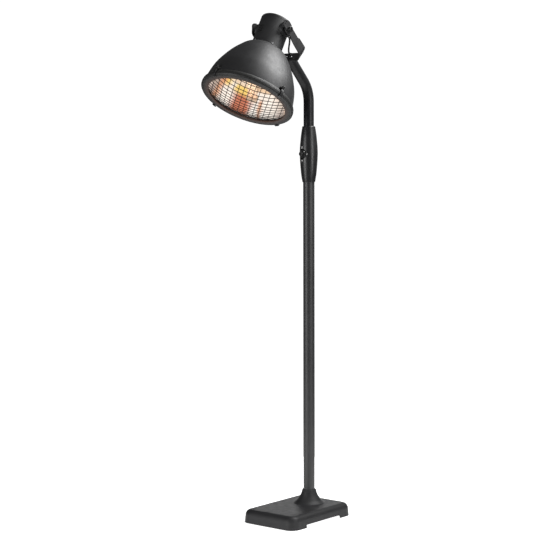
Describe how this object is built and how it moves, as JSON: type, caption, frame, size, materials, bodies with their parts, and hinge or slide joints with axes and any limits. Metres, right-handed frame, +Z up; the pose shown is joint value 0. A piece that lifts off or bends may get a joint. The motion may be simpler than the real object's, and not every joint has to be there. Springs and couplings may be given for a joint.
{
  "type": "outdoor heater",
  "caption": "Floor-standing electric infrared patio heater shaped like an industrial lamp: weighted base, pole with rotary switch, bent neck, tilting bell head with wire guard.",
  "frame": {"origin": "centre of the overall box in plan, on the floor under the feet", "axes": "+Z up, -Y the way the head leans and the dial faces, +X to the right seen from the front, along the tilt pivot"},
  "size_m": [0.3454, 0.6031, 1.8329],
  "materials": {
    "black_paint": "satin black powder coat",
    "black_moulding": "fine-textured matte black moulding",
    "black_plastic": "matte black plastic",
    "plain_steel": "plain pressed steel",
    "zinc_steel": "zinc-plated steel",
    "ballast_iron": "rough casting",
    "black_rubber": "soft matte rubber",
    "lead_rubber": "smooth rubber sheath",
    "fibre": "pressed grey fibre",
    "bright_aluminium": "polished reflector sheet",
    "white_ceramic": "unglazed white ceramic",
    "quartz": "clear quartz tube",
    "hot_filament": "glowing coiled element",
    "mesh_wire": "black coated wire"
  },
  "bodies": {
    "stand": {"base_cover": "black_moulding", "front_skirt": "black_moulding", "rear_skirts": "black_moulding", "base_plate": "plain_steel", "base_plate_screws": "zinc_steel", "rubber_feet": "black_rubber", "ballast_block": "ballast_iron", "pole_socket": "plain_steel", "socket_bolts": "zinc_steel", "supply_terminals": "white_ceramic", "tilt_switch": "black_plastic", "inlet_plate": "black_moulding", "supply_gland": "black_plastic", "collar_cover": "black_moulding", "lower_pole": "black_paint", "pole_joiner": "plain_steel", "grub_screws": "zinc_steel", "switch_housing": "black_moulding", "housing_panel": "black_moulding", "panel_screws": "zinc_steel", "switch_dial": "black_plastic", "rotary_switch": "black_plastic", "switch_screws": "zinc_steel", "upper_pole": "black_paint", "tube_end_plug": "plain_steel", "yoke": "black_paint", "yoke_bolts": "zinc_steel", "lead_grommet": "black_rubber", "head_lead": "lead_rubber"},
    "head": {"shade": "black_paint", "neck": "black_paint", "neck_screws": "zinc_steel", "neck_gland": "black_plastic", "pivot_bosses": "black_paint", "pivot_nut_plates": "plain_steel", "friction_washers": "fibre", "pivot_washers": "zinc_steel", "pivot_bolt": "zinc_steel", "terminal_plate": "plain_steel", "terminal_block": "white_ceramic", "thermal_cutout": "white_ceramic", "reflector": "bright_aluminium", "heat_shield": "bright_aluminium", "shield_posts": "zinc_steel", "lamp_tubes": "quartz", "lamp_filaments": "hot_filament", "lamp_holders": "white_ceramic", "lamp_brackets": "plain_steel", "front_ring": "black_paint", "grille_mesh": "mesh_wire", "hook_brackets": "black_paint", "hook_pins": "zinc_steel"},
    "knob": {"control_knob": "black_plastic", "knob_shaft": "zinc_steel"},
    "tilt_knob_body": {"tilt_knob": "black_plastic", "tilt_stud": "zinc_steel"},
    "hook_right_body": {"hook_right": "black_paint"},
    "hook_front_body": {"hook_front": "black_paint"},
    "hook_left_body": {"hook_left": "black_paint"},
    "hook_back_body": {"hook_back": "black_paint"}
  },
  "joints": [
    {"name": "head_tilt", "type": "hinge", "parent": "stand", "child": "head", "pos_m": [0, -0.00865, 1.7729], "axis": [-1, 0, 0], "range_deg": [-20, 45], "deforming": ["head_lead"]},
    {"name": "knob_turn", "type": "hinge", "parent": "stand", "child": "knob", "pos_m": [0, 0.19585, 1.3395], "axis": [-0.1994, -0.9799, 0], "range_deg": [-126, 54]},
    {"name": "tilt_knob_turn", "type": "hinge", "parent": "head", "child": "tilt_knob_body", "pos_m": [0, -0.00865, 1.7729], "axis": [-1, 0, 0], "range_deg": [0, 180]},
    {"name": "hook_right_swing", "type": "hinge", "parent": "head", "child": "hook_right_body", "pos_m": [0.16427, -0.15838, 1.55574], "axis": [-0.1219, -0.8578, 0.4993], "range_deg": [0, 45]},
    {"name": "hook_front_swing", "type": "hinge", "parent": "head", "child": "hook_front_body", "pos_m": [-0.02017, -0.28292, 1.62823], "axis": [-0.9925, 0.1053, -0.0613], "range_deg": [0, 45]},
    {"name": "hook_left_swing", "type": "hinge", "parent": "head", "child": "hook_left_body", "pos_m": [-0.16427, -0.12351, 1.53545], "axis": [0.1219, 0.8578, -0.4993], "range_deg": [0, 45]},
    {"name": "hook_back_swing", "type": "hinge", "parent": "head", "child": "hook_back_body", "pos_m": [0.02017, 0.00103, 1.46297], "axis": [0.9925, -0.1053, 0.0613], "range_deg": [0, 45]}
  ]
}
